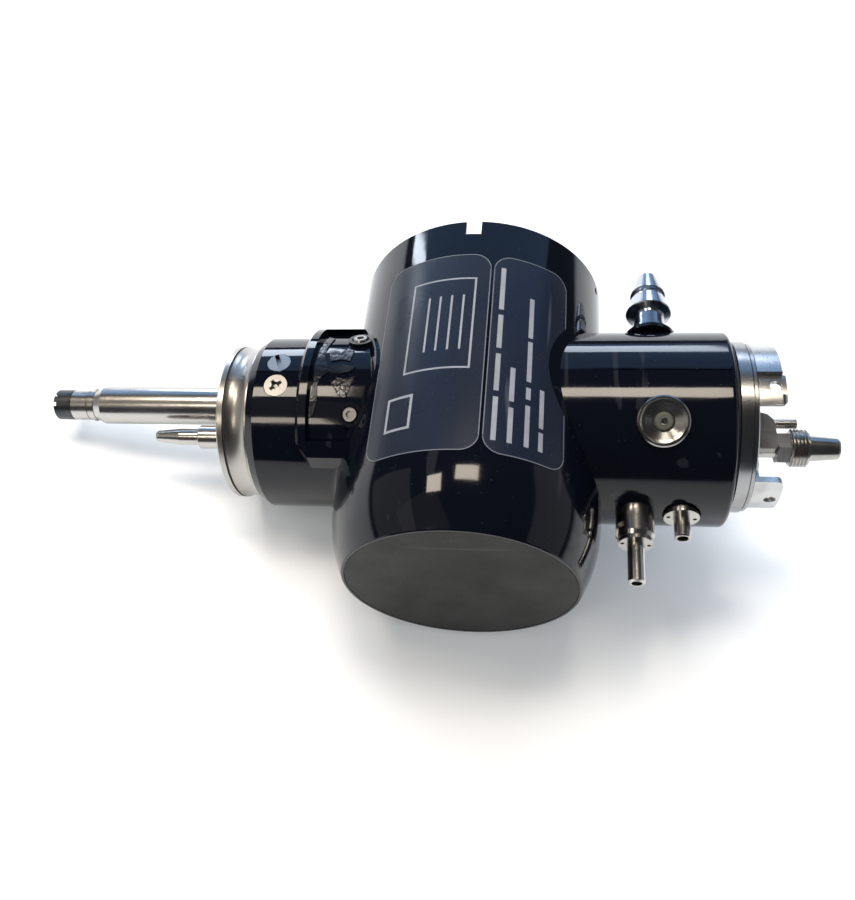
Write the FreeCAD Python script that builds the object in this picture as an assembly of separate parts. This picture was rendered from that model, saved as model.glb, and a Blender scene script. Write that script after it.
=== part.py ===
"""Light-guide connector of a flexible video endoscope, in millimetres.

The pieces are designed in an upright frame: +X runs along the plug axis towards the cord, the socket
barrel's axis is +Y and crosses the plug axis at the origin, and +Z is up.  Each piece is then laid down as
the connector rests on a table: tipped about Y until the barrel and the plug shell both touch, with the
origin moved to the bottom centre of the whole object's box.
"""
import FreeCAD
import Part
import math
import os

V = FreeCAD.Vector

# ---------------------------------------------------------------- driving dimensions
# socket barrel, along Y
BARREL_R = 29.3
BARREL_BORE_R = 27.1
BARREL_INNER_R = 26.5    # below the shoulder the plug stops on
BARREL_SHOULDER = 31.5
BARREL_MOUTH = 36.4
BARREL_BASE = -41.5
BASE_THICKNESS = 2.4
BASE_ROUND_START = -26.0  # where the wall starts to draw in towards the closed end
BASE_EDGE_R = 25.6
BARREL_STEP = -36.0      # below it the bore is narrower
BARREL_FLOOR_R = 23.0
DISC_R = 24.9
DISC_THICKNESS = 0.8
NOTCH_WIDTH = 3.5
NOTCH_DEPTH = 3.9

# plug shell and cord shell, along X
PLUG_SHELL_R = 20.2
PLUG_BORE_R = 17.6
PLUG_SHELL_END = -49.3
PLUG_CHAMFER = 1.9
CORD_SHELL_R = 21.3
CORD_SHELL_DROP = 1.5
CORD_BORE_R = 18.3
CORD_SHELL_END = 56.4
CORD_ROUND = 1.2
SHELL_BLEND = 1.5
SEAM = 0.25

# plug end
COLLAR_FACE = -56.65
COLLAR_R = 18.3
SPIGOT_END = -39.0
SPIGOT_BORE_R = 14.5
ROD_Y = 4.6
ROD_R = 4.7
ROD_SEAT_R = 4.9         # the stretch held in the plug block
ROD_TAIL_R = 4.3
ROD_SEAT_END = -56.35
ROD_BORE_R = 2.6
ROD_CONE_END = -93.2
NECK_R = 3.75
NECK_START = -101.4
NOSE_R = 3.1
TIP_FACE = -106.0
TIP_R = 3.75
NOSE_END = -103.35
GLASS_POCKET = -103.7
GLASS_LIP = -105.05
GLASS_R = 2.9
TIP_MOUTH_R = 2.35
PIN_Y = -4.6
PIN_R = 1.96
PIN_BASE_R = 2.83
PIN_TIP = -77.6
PIN_STEP = -66.3

# saddle bezel
BEZEL_R = 22.4
BEZEL_LEFT = -37.0
BEZEL_HALF_WIDTH = 18.2
BEZEL_RIM = 2.5
BEZEL_WALL_RIM = 0.6
BEZEL_FLOOR_R = 20.9
BEZEL_SEAT_R = 21.4
BEZEL_BOSS_R = 2.75
BEZEL_BOSS_TOP = 21.75
BEZEL_HEAD_R = 1.85
BEZEL_CORNER = 2.6

# fittings on the cord shell
NIPPLE_X = 40.2
NIPPLE_Z = 9.5
WATER_X = 36.5
WATER_SLEEVE_R = 4.15
WATER_PIPE_R = 1.82
WATER_SEAT_R = 2.05      # the stretch inside the nut
AIR_X = 46.3
AIR_NUT_R = 3.78
AIR_PIPE_R = 1.72
AIR_SEAT_R = 1.9
STUD_X = 41.3
STUD_ANGLE = -31.4
STUD_R = 5.4

# cord end
RING_R = 19.2
RING_START = 57.1
RING_END = 61.0
LUG_OUTER_R = 18.1
LUG_INNER_R = 16.3
LUG_SLEEVE_START = 50.5
LUG_END = 67.0
LUG_PAD_R = 18.6
LUG_SPANS = [(-18.5, 5.0), (-116.0, -73.5), (150.0, 200.0)]
PAD_SPAN = (5.0, 61.9)
PAD_END = 66.2
LUG_HOLES = [(-4.2, 64.7), (-93.0, 65.0), (176.0, 65.0)]
LUG_HOLE_R = 1.25
LUG_STEP_R = 17.45       # the sunk middle of the upper lug
LUG_STEP = (-11.5, 5.0)
BULKHEAD_FACE = 59.2
BULKHEAD_THICKNESS = 1.6
CABLE_END = 60.0
UNION_AT = (-3.35, -3.2)
UNION_TUBE_END = 81.7

PLATE = 0.8          # half the thickness of the chassis plate
GAP = 0.02           # clearance of a drop-in fit
WALL_GAP = 0.05      # radial clearance of a turning or sliding fit


# ---------------------------------------------------------------- helpers
AXES = {"X": V(1, 0, 0), "Y": V(0, 1, 0), "Z": V(0, 0, 1)}


def point(axis, along, at):
    """The point at a distance along an axis; at holds the other two coordinates in X, Y, Z order."""
    if axis == "X":
        return V(along, at[0], at[1])
    if axis == "Y":
        return V(at[0], along, at[1])
    return V(at[0], at[1], along)


def rod(radius, start, end, axis="X", at=(0, 0)):
    return Part.makeCylinder(radius, end - start, point(axis, start, at), AXES[axis])


def tube(outer, inner, start, end, axis="X", at=(0, 0)):
    return rod(outer, start, end, axis, at).cut(rod(inner, start, end, axis, at))


def cone(r_start, r_end, start, end, axis="X", at=(0, 0)):
    return Part.makeCone(r_start, r_end, end - start, point(axis, start, at), AXES[axis])


def box(x, y, z):
    """A block from three (low, high) ranges."""
    return Part.makeBox(x[1] - x[0], y[1] - y[0], z[1] - z[0], V(x[0], y[0], z[0]))


def turned(profile, axis="X", at=(0, 0)):
    """A solid of revolution; the profile is a closed list of (distance along the axis, radius)."""
    side = {"X": V(0, 1, 0), "Y": V(0, 0, 1), "Z": V(1, 0, 0)}[axis]
    origin = point(axis, 0, at)
    points = [origin + AXES[axis] * along + side * radius for along, radius in profile]
    face = Part.Face(Part.makePolygon(points + points[:1]))
    return face.revolve(origin, AXES[axis], 360)


def joined(first, *others):
    shape = first.fuse(list(others))
    return shape.removeSplitter()


def cut(shape, *tools):
    return shape.cut(list(tools))


def around_x(shape, angle):
    """Turn about the plug axis; a positive angle moves the top towards +Y."""
    shape.rotate(V(0, 0, 0), V(1, 0, 0), -angle)
    return shape


def around_y(shape, angle):
    """Turn about the barrel axis; a positive angle moves the top towards +X."""
    shape.rotate(V(0, 0, 0), V(0, 1, 0), angle)
    return shape


def hexagon(across_flats, start, end, axis="X", at=(0, 0)):
    corner = across_flats / math.sqrt(3)
    pairs = [(corner * math.cos(math.radians(60 * i)), corner * math.sin(math.radians(60 * i)))
             for i in range(6)]
    points = [point(axis, start, (at[0] + a, at[1] + b)) for a, b in pairs]
    face = Part.Face(Part.makePolygon(points + points[:1]))
    return face.extrude(AXES[axis] * (end - start))


def wedge(first, last, start, end, radius=60.0):
    """A sector about the plug axis, from one angle to another, measured from the top towards +Y."""
    steps = max(2, math.ceil((last - first) / 30))
    corners = [V(start, 0, 0)]
    for i in range(steps + 1):
        angle = math.radians(first + (last - first) * i / steps)
        corners.append(V(start, radius * math.sin(angle), radius * math.cos(angle)))
    face = Part.Face(Part.makePolygon(corners + corners[:1]))
    return face.extrude(V(end - start, 0, 0))


def routed(points, radius, bore=0.0):
    """A hose or cable along straight runs joined by tangent arcs."""
    corners = [V(*p) for p in points]
    edges = []
    here = corners[0]
    for before, corner, after in zip(corners, corners[1:], corners[2:]):
        back = (before - corner).normalize()
        onward = (after - corner).normalize()
        turn = math.pi - back.getAngle(onward)
        reach = 0.45 * min(corner.distanceToPoint(before), corner.distanceToPoint(after))
        reach = min(reach, 40 * radius * math.tan(turn / 2))
        bend = reach / math.tan(turn / 2)
        enter = corner + back * reach
        leave = corner + onward * reach
        centre = corner + (back + onward).normalize() * math.hypot(reach, bend)
        middle = centre + (corner - centre).normalize() * bend
        edges.append(Part.LineSegment(here, enter).toShape())
        edges.append(Part.Arc(enter, middle, leave).toShape())
        here = leave
    edges.append(Part.LineSegment(here, corners[-1]).toShape())
    path = Part.Wire(edges)
    heading = (corners[1] - corners[0]).normalize()
    solids = []
    for r in [radius, bore]:
        if r > 0:
            ring = Part.Wire([Part.Circle(corners[0], heading, r).toShape()])
            solids.append(path.makePipeShell([ring], True, False))
    return solids[0] if len(solids) == 1 else solids[0].cut(solids[1])


def csk_screw(surface_r, depth, head_r=2.65, shank_r=1.45):
    """A countersunk screw standing on +Z, its head flush with the given radius."""
    head = 1.6
    profile = [(surface_r - depth, 0), (surface_r - depth, shank_r), (surface_r - head, shank_r),
               (surface_r - 0.35, head_r), (surface_r, head_r), (surface_r, 0)]
    return turned(profile, "Z")


# ---------------------------------------------------------------- housing
def barrel_outside():
    """A plain cylinder that draws in along one arc to the edge of its closed end."""
    end = BARREL_BASE + 0.2
    drop = BASE_ROUND_START - end
    inwards = BARREL_R - BASE_EDGE_R
    bend = (drop ** 2 + inwards ** 2) / (2 * inwards)
    half_turn = math.asin(drop / bend) / 2
    middle = V(BARREL_R - bend + bend * math.cos(half_turn), BASE_ROUND_START - bend * math.sin(half_turn), 0)
    arc = Part.Arc(V(BARREL_R, BASE_ROUND_START, 0), middle, V(BASE_EDGE_R, end, 0)).toShape()
    points = [V(BASE_EDGE_R, end, 0), V(BASE_EDGE_R - 0.2, BARREL_BASE, 0), V(0, BARREL_BASE, 0),
              V(0, BARREL_MOUTH, 0), V(BARREL_R, BARREL_MOUTH, 0), V(BARREL_R, BASE_ROUND_START, 0)]
    outline = Part.Wire([arc] + Part.makePolygon(points).Edges)
    return Part.Face(outline).revolve(V(0, 0, 0), V(0, 1, 0), 360)


def housing_outside():
    """The housing as a full solid, with its outer rounding."""
    barrel = barrel_outside()
    plug = turned([(0, 0), (PLUG_SHELL_END, 0), (PLUG_SHELL_END, PLUG_SHELL_R - 1.1),
                   (PLUG_SHELL_END + PLUG_CHAMFER, PLUG_SHELL_R), (0, PLUG_SHELL_R)])
    round_part = rod(CORD_SHELL_R, 0, CORD_SHELL_END)
    lowered = rod(CORD_SHELL_R, 0, CORD_SHELL_END, at=(-CORD_SHELL_DROP, 0))
    between = box((0, CORD_SHELL_END), (-CORD_SHELL_DROP, 0), (-CORD_SHELL_R, CORD_SHELL_R))
    cord = joined(round_part, lowered, between)
    end_edges = [e for e in cord.Edges if all(abs(v.X - CORD_SHELL_END) < 0.01 for v in e.Vertexes)]
    cord = cord.makeFillet(CORD_ROUND, end_edges)
    outside = joined(barrel, plug, cord)
    meeting = [e for e in outside.Edges if on_barrel(e)]
    return outside.makeFillet(SHELL_BLEND, meeting)


def case_body():
    bores = [rod(BARREL_BORE_R, BARREL_SHOULDER, BARREL_MOUTH, "Y"),
             rod(BARREL_INNER_R, BARREL_STEP, BARREL_SHOULDER, "Y"),
             rod(BARREL_FLOOR_R, BARREL_BASE + BASE_THICKNESS, BARREL_STEP, "Y"),
             rod(PLUG_BORE_R, PLUG_SHELL_END, 0),
             rod(CORD_BORE_R, 0, CORD_SHELL_END)]
    case = cut(OUTSIDE, *bores)
    return cut(case, *case_openings())


def on_barrel(edge):
    """True for the curves where the shells meet the barrel's wall."""
    if edge.Length < 40:
        return False
    samples = [edge.valueAt(edge.FirstParameter + (edge.LastParameter - edge.FirstParameter) * t)
               for t in (0.2, 0.4, 0.6, 0.8)]
    return all(abs(math.hypot(p.x, p.z) - BARREL_R) < 0.01 and abs(p.y) < 24 for p in samples)


def case_openings():
    """Everything that breaks through the housing's wall."""
    half = NOTCH_WIDTH / 2
    tools = [box((-half, half), (BARREL_MOUTH - NOTCH_DEPTH, BARREL_MOUTH), (20, 40))]
    tools.append(rod(DISC_R, BARREL_BASE, BARREL_BASE + DISC_THICKNESS, "Y"))
    tools.append(around_y(rod(0.9, 25, 35, "Z", at=(0, 34.0)), 74))
    for start, end, radius in [(PLUG_SHELL_END, BEZEL_LEFT, PLUG_SHELL_R),
                               (31.0, CORD_SHELL_END, CORD_SHELL_R)]:
        tools.append(box((start, end), (-SEAM / 2, SEAM / 2), (radius - SEAM, radius + 1)))
    for spot in PLUG_SCREWS:
        sink_top = PLUG_SHELL_R - SCREW_SINK - 0.4
        sink = cone(1.5, 2.75, sink_top - 1.25, sink_top, "Z")
        hole = joined(rod(1.5, 10, PLUG_SHELL_R, "Z"), rod(2.75, sink_top, 23, "Z"), sink)
        tools.append(on_plug_shell(hole, spot))
    tools += [on_plug_shell(rod(0.83, 10, 23, "Z"), spot) for spot in BEZEL_SCREWS]
    tools.append(rod(WATER_SLEEVE_R + GAP, -30, -14, "Y", at=(WATER_X, 0)))
    tools.append(rod(3.0 + GAP, -30, -14, "Y", at=(AIR_X, 0)))
    tools.append(rod(AIR_NUT_R + 0.32, -30, -21.6, "Y", at=(AIR_X, 0)))
    tools.append(rod(6.1, 17.2, 30, "Y", at=(NIPPLE_X, NIPPLE_Z)))
    tools.append(rod(3.6, 10, 30, "Y", at=(NIPPLE_X, NIPPLE_Z)))
    stud = joined(rod(4.0, 10, 30, "Z"), rod(STUD_R + 0.1, 21.4, 30, "Z"))
    stud.translate(V(STUD_X, 0, 0))
    tools.append(around_x(stud, STUD_ANGLE))
    return tools


SCREW_SINK = 0.12
PLUG_SCREWS = [(-42.8, 7.8), (-42.5, -10.2)]
BEZEL_SCREWS = [(-24.7, -29.5), (-25.0, 27.0)]


def end_disc():
    return rod(DISC_R - 0.15, BARREL_BASE + 0.05, BARREL_BASE + DISC_THICKNESS, "Y")


# ---------------------------------------------------------------- plug end
def plug_collar():
    groove_left = -55.1
    groove_right = -54.55
    lip = PLUG_SHELL_END - 0.5
    band = Part.Arc(V(groove_right, COLLAR_R - 0.15, 0), V(-52.0, COLLAR_R - 0.75, 0),
                    V(lip - 0.25, COLLAR_R, 0))
    spigot_r = PLUG_BORE_R - WALL_GAP
    before = [V(SPIGOT_END, SPIGOT_BORE_R, 0), V(COLLAR_FACE, SPIGOT_BORE_R, 0),
              V(COLLAR_FACE, COLLAR_R - 0.6, 0), V(COLLAR_FACE + 0.4, COLLAR_R - 0.1, 0),
              V(groove_left, COLLAR_R - 0.1, 0), V(groove_left, COLLAR_R - 0.95, 0),
              V(groove_right, COLLAR_R - 0.95, 0), V(groove_right, COLLAR_R - 0.15, 0)]
    after = [V(lip - 0.25, COLLAR_R, 0), V(lip, COLLAR_R + 0.3, 0),
             V(PLUG_SHELL_END, COLLAR_R + 0.3, 0), V(PLUG_SHELL_END, spigot_r, 0),
             V(SPIGOT_END, spigot_r, 0), V(SPIGOT_END, SPIGOT_BORE_R, 0)]
    edges = Part.makePolygon(before).Edges + [band.toShape()] + Part.makePolygon(after).Edges
    collar = Part.Face(Part.Wire(edges)).revolve(V(0, 0, 0), V(1, 0, 0), 360)
    return cut(collar, *[on_plug_shell(rod(1.45 + GAP, 10, 20, "Z"), spot) for spot in PLUG_SCREWS])


def collar_o_ring():
    return Part.makeTorus(COLLAR_R - 0.55, 0.26, V(-54.825, 0, 0), V(1, 0, 0))


def plug_screw(spot, drive):
    screw = csk_screw(PLUG_SHELL_R - SCREW_SINK, 5.0)
    top = PLUG_SHELL_R
    if drive == "slot":
        tool = box((-3, 3), (-0.5, 0.5), (top - 1.05, top + 1))
        tool.rotate(V(0, 0, 0), V(0, 0, 1), -68)
    else:
        tool = joined(box((-1.5, 1.5), (-0.42, 0.42), (top - 1.4, top + 1)),
                      box((-0.42, 0.42), (-1.5, 1.5), (top - 1.4, top + 1)),
                      cone(0.4, 1.05, top - 1.5, top + 0.2, "Z"))
        tool.rotate(V(0, 0, 0), V(0, 0, 1), 40)
    return on_plug_shell(cut(screw, tool), spot)


def plug_block():
    block = rod(SPIGOT_BORE_R - GAP, ROD_SEAT_END, -44)
    tools = [rod(ROD_SEAT_R + GAP, -60, -40, at=(ROD_Y, 0)),
             rod(PIN_BASE_R + GAP, -60, -40, at=(PIN_Y, 0))]
    tools += [rod(1.0 + GAP, -48.1, -40, at=at) for at in CHASSIS_SCREWS]
    return cut(block, *tools)


CHASSIS_SCREWS = [(0, 11.5), (0, -11.5)]


def light_guide_rod():
    profile = [(-40, ROD_BORE_R), (-40, ROD_TAIL_R), (-42.4, ROD_TAIL_R), (-42.4, 5.4), (-43.9, 5.4),
               (-43.9, ROD_SEAT_R), (ROD_SEAT_END, ROD_SEAT_R), (ROD_SEAT_END, ROD_R),
               (ROD_CONE_END, ROD_R), (-95.2, NECK_R + 0.12), (-95.2, NECK_R - 0.1),
               (-95.4, NECK_R - 0.1), (-95.4, NECK_R + 0.12), (-97.0, NECK_R + 0.12),
               (-97.0, NECK_R - 0.25), (-97.3, NECK_R - 0.25), (-97.3, NECK_R),
               (NECK_START, NECK_R), (NECK_START, NOSE_R), (NOSE_END, NOSE_R), (NOSE_END, ROD_BORE_R)]
    body = turned(profile, at=(ROD_Y, 0))
    holes = [nose_pin(angle, 0.5 + GAP, 2.0, 5.0) for angle in NOSE_PINS]
    return cut(body, *holes)


NOSE_PINS = [56, 236]


def nose_pin(angle, radius=0.5, low=2.65, high=4.0):
    pin = around_x(rod(radius, low, high, "Z", at=(-96.15, 0)), angle)
    pin.translate(V(0, ROD_Y, 0))
    return pin


def nose_pins():
    return Part.makeCompound([nose_pin(angle) for angle in NOSE_PINS])


def tip_ring():
    profile = [(TIP_FACE, TIP_MOUTH_R), (TIP_FACE, TIP_R - 0.2), (TIP_FACE + 0.2, TIP_R),
               (NECK_START - 0.25, TIP_R), (NECK_START - 0.05, TIP_R - 0.2),
               (NECK_START - 0.05, NOSE_R + WALL_GAP), (GLASS_POCKET, NOSE_R + WALL_GAP),
               (GLASS_POCKET, GLASS_R + WALL_GAP), (GLASS_LIP, GLASS_R + WALL_GAP), (GLASS_LIP, TIP_MOUTH_R)]
    ring = turned(profile, at=(ROD_Y, 0))
    slots = []
    for angle in (-32, 7, 148, 187):
        slot = box((TIP_FACE - 1, TIP_FACE + 0.85), (-0.5, 0.5), (1.5, 5))
        slot = around_x(slot, angle)
        slot.translate(V(0, ROD_Y, 0))
        slots.append(slot)
    return cut(ring, *slots)


def cover_glass():
    return rod(GLASS_R, GLASS_LIP + WALL_GAP, GLASS_POCKET + WALL_GAP, at=(ROD_Y, 0))


def air_pipe():
    end = Part.Arc(V(PIN_TIP + 0.9, 1.42, 0), V(PIN_TIP + 0.2, 1.2, 0), V(PIN_TIP, 0.9, 0))
    points = [V(-38, 0.9, 0), V(-38, 1.6, 0), V(-42.5, 1.6, 0), V(-42.5, 3.5, 0), V(-43.9, 3.5, 0),
              V(-43.9, PIN_BASE_R, 0), V(PIN_STEP + 0.3, PIN_BASE_R, 0), V(PIN_STEP, PIN_BASE_R - 0.3, 0),
              V(PIN_STEP, PIN_R, 0), V(-71.4, PIN_R, 0), V(PIN_TIP + 0.9, 1.42, 0)]
    closing = Part.LineSegment(V(PIN_TIP, 0.9, 0), V(-38, 0.9, 0)).toShape()
    outline = Part.Wire(Part.makePolygon(points).Edges + [end.toShape(), closing])
    pipe = Part.Face(outline).revolve(V(0, 0, 0), V(1, 0, 0), 360)
    pipe.translate(V(0, PIN_Y, 0))
    return pipe


# ---------------------------------------------------------------- saddle bezel
def saddle_bezel():
    right = -15.0
    frame = turned([(BEZEL_LEFT, PLUG_SHELL_R), (BEZEL_LEFT, BEZEL_R - 0.8), (BEZEL_LEFT + 0.8, BEZEL_R),
                    (right, BEZEL_R), (right, PLUG_SHELL_R)])
    frame = frame.common(box((-60, 0), (-BEZEL_HALF_WIDTH, BEZEL_HALF_WIDTH), (0, 40)))
    inner = BEZEL_HALF_WIDTH - BEZEL_RIM
    recess = tube(BEZEL_R + 1, BEZEL_FLOOR_R, BEZEL_LEFT + BEZEL_RIM, right)
    recess = recess.common(box((-60, 0), (-inner, inner), (0, 40)))
    recess = cut(recess, tube(BARREL_R + BEZEL_WALL_RIM, BARREL_R, -60, 60, "Y"))
    half = BEZEL_CORNER / math.sqrt(2)
    corners = []
    for side in (-1, 1):
        corner = box((-half, half), (-half, half), (0, 30))
        corner.rotate(V(0, 0, 0), V(0, 0, 1), 45)
        corner.translate(V(BEZEL_LEFT, side * BEZEL_HALF_WIDTH, 0))
        corners.append(corner)
    bosses = [on_plug_shell(rod(BEZEL_BOSS_R, PLUG_SHELL_R, BEZEL_BOSS_TOP, "Z"), spot)
              for spot in BEZEL_SCREWS]
    holes = []
    for spot in BEZEL_SCREWS:
        sink = joined(rod(0.83, 10, 25, "Z"), rod(BEZEL_HEAD_R + 0.12, BEZEL_SEAT_R, 25, "Z"))
        holes.append(on_plug_shell(sink, spot))
    barrel = rod(BARREL_R, -40, 36, "Y")
    bezel = cut(joined(cut(frame, recess, *corners), *bosses), barrel)
    return cut(cut(bezel, *holes), OUTSIDE)


def on_plug_shell(shape, spot):
    """Move a piece built on +Z to a (distance along X, angle) spot on the plug shell."""
    shape.translate(V(spot[0], 0, 0))
    return around_x(shape, spot[1])


def bezel_screws():
    screws = []
    for spot in BEZEL_SCREWS:
        head = cone(BEZEL_HEAD_R, BEZEL_HEAD_R - 0.35, BEZEL_SEAT_R, BEZEL_SEAT_R + 0.7, "Z")
        screw = joined(head, rod(0.8, BEZEL_SEAT_R - 4, BEZEL_SEAT_R, "Z"))
        screw = cut(screw, rod(0.8, BEZEL_SEAT_R + 0.1, BEZEL_SEAT_R + 2, "Z"))
        screws.append(on_plug_shell(screw, spot))
    return Part.makeCompound(screws)


def sealant_residue():
    """A thin torn film of sealant on the recess floor."""
    film = tube(BEZEL_FLOOR_R + 0.3, BEZEL_FLOOR_R, -40, -20)
    patches = []
    for outline in SEALANT_OUTLINES:
        points = [V(x, y, 0) for x, y in outline]
        patch = Part.Face(Part.makePolygon(points + points[:1])).extrude(V(0, 0, 40))
        patches.append(patch.common(film))
    return Part.makeCompound(patches)


SEALANT_OUTLINES = [
    [(-32.9, 12), (-31.4, 11.2), (-32.2, 6), (-32, 3.3), (-31, 0.9), (-27.6, 1.3), (-24.6, 0.6),
     (-25.6, -0.6),
     (-28.2, -1.3), (-30.6, -0.9), (-32, -2.2), (-32.7, -4.2), (-32.4, -7.4), (-33, -10.4), (-34.1, -11),
     (-34, -7.6), (-33.5, -3.4), (-34, 1.6), (-33.6, 6)],
    [(-29.6, -3.6), (-28.4, -2.3), (-26.6, -2.7), (-24.4, -2), (-25.3, -4.4), (-26, -7.1), (-28, -6.2)],
    [(-31.4, 5.4), (-29.8, 6.4), (-28.7, 5), (-27.3, 6.6), (-25.7, 5.8), (-26.1, 2.4), (-28.1, 2.9),
     (-30.4, 2.2)],
]


# ---------------------------------------------------------------- labels
LABEL_THICKNESS = 0.12
LABEL_HALF_LENGTH = 26.0
LABEL_CORNER = 4.0
CORNER_TURNS = {(-1, -1): 0, (1, -1): 90, (1, 1): 180, (-1, 1): 270}


def label(first, last):
    """A foil wrapped on the barrel between two angles, measured from the top towards +X."""
    foil = tube(BARREL_R + LABEL_THICKNESS, BARREL_R, -LABEL_HALF_LENGTH, LABEL_HALF_LENGTH, "Y")
    reach = 60.0
    corners = [V(0, 0, 0)]
    for i in range(4):
        angle = math.radians(first + (last - first) * i / 3)
        corners.append(V(reach * math.sin(angle), 0, reach * math.cos(angle)))
    sector = Part.Face(Part.makePolygon(corners + corners[:1]))
    sector.translate(V(0, -40, 0))
    foil = foil.common(sector.extrude(V(0, 80, 0)))
    trims = []
    for angle, side in ((first, -1), (last, 1)):
        for end in (-1, 1):
            block = box((-LABEL_CORNER, LABEL_CORNER), (-LABEL_CORNER, LABEL_CORNER), (25, 35))
            disc = rod(LABEL_CORNER, 24, 36, "Z")
            quarter = box((-LABEL_CORNER, 0), (-LABEL_CORNER, 0), (24, 36))
            quarter.rotate(V(0, 0, 0), V(0, 0, 1), CORNER_TURNS[(side, end)])
            corner = block.common(quarter).cut(disc)
            inset = math.degrees(LABEL_CORNER / BARREL_R)
            corner.translate(V(0, end * (LABEL_HALF_LENGTH - LABEL_CORNER), 0))
            trims.append(around_y(corner, angle - side * inset))
    shells = [rod(BEZEL_R + 0.15, -60, -2), rod(CORD_SHELL_R + 2.2, 2, 60)]
    return cut(foil, *trims, *shells)


# ---------------------------------------------------------------- socket
def contact_positions():
    spots = []
    for radius, count in ((20.5, 24), (15.5, 18)):
        for i in range(count):
            angle = 2 * math.pi * i / count
            spots.append((radius * math.cos(angle), radius * math.sin(angle)))
    return spots


CONTACT_R = 0.6


def contact_block():
    block = joined(rod(25.3, 13, 18, "Y"), rod(9.0, 18, 27, "Y"))
    key = box((-1.6, 1.6), (18, 28), (7.2, 12))
    holes = [rod(CONTACT_R + GAP, 12, 19, "Y", at=spot) for spot in contact_positions()]
    return cut(block, key, *holes)


def contact_pins():
    pins = []
    for spot in contact_positions():
        shaft = rod(CONTACT_R, 8.8, 24.4, "Y", at=spot)
        tip = cone(CONTACT_R, 0.25, 24.4, 25, "Y", at=spot)
        pins.append(joined(shaft, tip))
    return Part.makeCompound(pins)


def contact_board():
    board = rod(22.5, 9.6, 11.2, "Y")
    return cut(board, *[rod(CONTACT_R + GAP, 9, 12, "Y", at=spot) for spot in contact_positions()])


def connector_shell():
    shell = tube(BARREL_INNER_R - WALL_GAP, 25.35, 12, 30, "Y")
    return cut(shell, box((-1.75, 1.75), (25, 31), (20, 30)))


def barrel_seal():
    return tube(BARREL_INNER_R - GAP, 25.6, 30.1, BARREL_SHOULDER, "Y")


# ---------------------------------------------------------------- electronics and hoses
BOARD_CORNERS = [(14, 13.5), (-14, 13.5), (-14, -13.5), (14, -13.5)]


def circuit_board():
    board = rod(21, -20, -18.4, "Y")
    return cut(board, *[rod(1.1, -21, -17, "Y", at=spot) for spot in BOARD_CORNERS])


def board_posts():
    posts = []
    for spot in BOARD_CORNERS:
        post = rod(2.0, BARREL_BASE + BASE_THICKNESS, -20, "Y", at=spot)
        posts.append(cut(post, rod(1.0 + GAP, -25, -19, "Y", at=spot)))
    return Part.makeCompound(posts)


def board_screws():
    screws = []
    for spot in BOARD_CORNERS:
        screws.append(joined(rod(1.0, -24.5, -18.4, "Y", at=spot), rod(1.9, -18.4, -17.2, "Y", at=spot)))
    return Part.makeCompound(screws)


def shield_can():
    can = box((-10, 10), (-18.4, -14.6), (-4, 11))
    return cut(can, box((-9.7, 9.7), (-18.4, -14.9), (-3.7, 10.7)))


def ribbon_cable():
    return box((-6, 6), (-18.4, 9.6), (-17.4, -17.0))


def bundle_route():
    return [(NOSE_END + 0.1, ROD_Y, 0), (-33, ROD_Y, 0), (-16, -1.5, 8), (CABLE_END, -2, 8.5)]


def light_guide_bundle():
    return routed(bundle_route(), ROD_BORE_R - 0.1)


def bundle_sheath():
    route = bundle_route()
    route[0] = (-39.8, ROD_Y, 0)
    full = routed(bundle_route(), 3.2, ROD_BORE_R - 0.1)
    return full.common(box((route[0][0], CABLE_END), (-30, 30), (-30, 30)))


AIR_HOSE = [(-42.3, PIN_Y, 0), (-33, PIN_Y, 0), (-18, -6, -7.5), (CABLE_END, -5, -9)]
SUCTION_TUBE = [(NIPPLE_X, 12.6, NIPPLE_Z), (NIPPLE_X, 6.5, NIPPLE_Z), (41.5, 5.5, -5.5), (46, 1, -8),
                (51.5, UNION_AT[0], UNION_AT[1]), (56, UNION_AT[0], UNION_AT[1])]
WATER_TUBE = [(WATER_X, -15.9, 0), (WATER_X, -11.5, 0), (45, -11, -5.5), (CABLE_END, -11, -6.5)]
AIR_TUBE = [(AIR_X, -15.9, 0), (AIR_X, -11.5, 0), (51, -11, 4.5), (CABLE_END, -11, 5.5)]
SIGNAL_CABLE = [(2, -18.9, -13.4), (4, -13, -13.8), (18, -8, -14), (41, 1.5, -13.6), (CABLE_END, 4, -11.5)]


def signal_cable():
    return routed(SIGNAL_CABLE, 2.5).cut(rod(22, -30, -18.4, "Y"))


# ---------------------------------------------------------------- chassis
def chassis_plate():
    disc = rod(14.3, -42.3, -40.6)
    holes = [rod(ROD_R, -44, -38, at=(ROD_Y, 0)), rod(2.5, -44, -38, at=(PIN_Y, 0))]
    holes += [rod(1.1, -44, -38, at=at) for at in CHASSIS_SCREWS]
    outline = [(-41, -13.4), (-41, -8.6), (-22, -8.6), (-22, 1.0), (24, 1.0), (24, 0.6), (56, 0.6), (56, 3.8),
               (64.4, 3.8), (66.4, 3.2), (67.5, 1.9), (67.9, 0.5), (67.9, -5.3), (67.2, -6.1), (24, -6.1),
               (24, -13.4)]
    points = [V(x, y, -PLATE) for x, y in outline]
    plate = Part.Face(Part.makePolygon(points + points[:1])).extrude(V(0, 0, 2 * PLATE))
    return cut(joined(disc, plate), *holes)


def chassis_screws():
    screws = []
    for at in CHASSIS_SCREWS:
        screws.append(joined(rod(1.0, -48, -40.6, at=at), rod(1.9, -40.6, -39.4, at=at)))
    return Part.makeCompound(screws)


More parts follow.
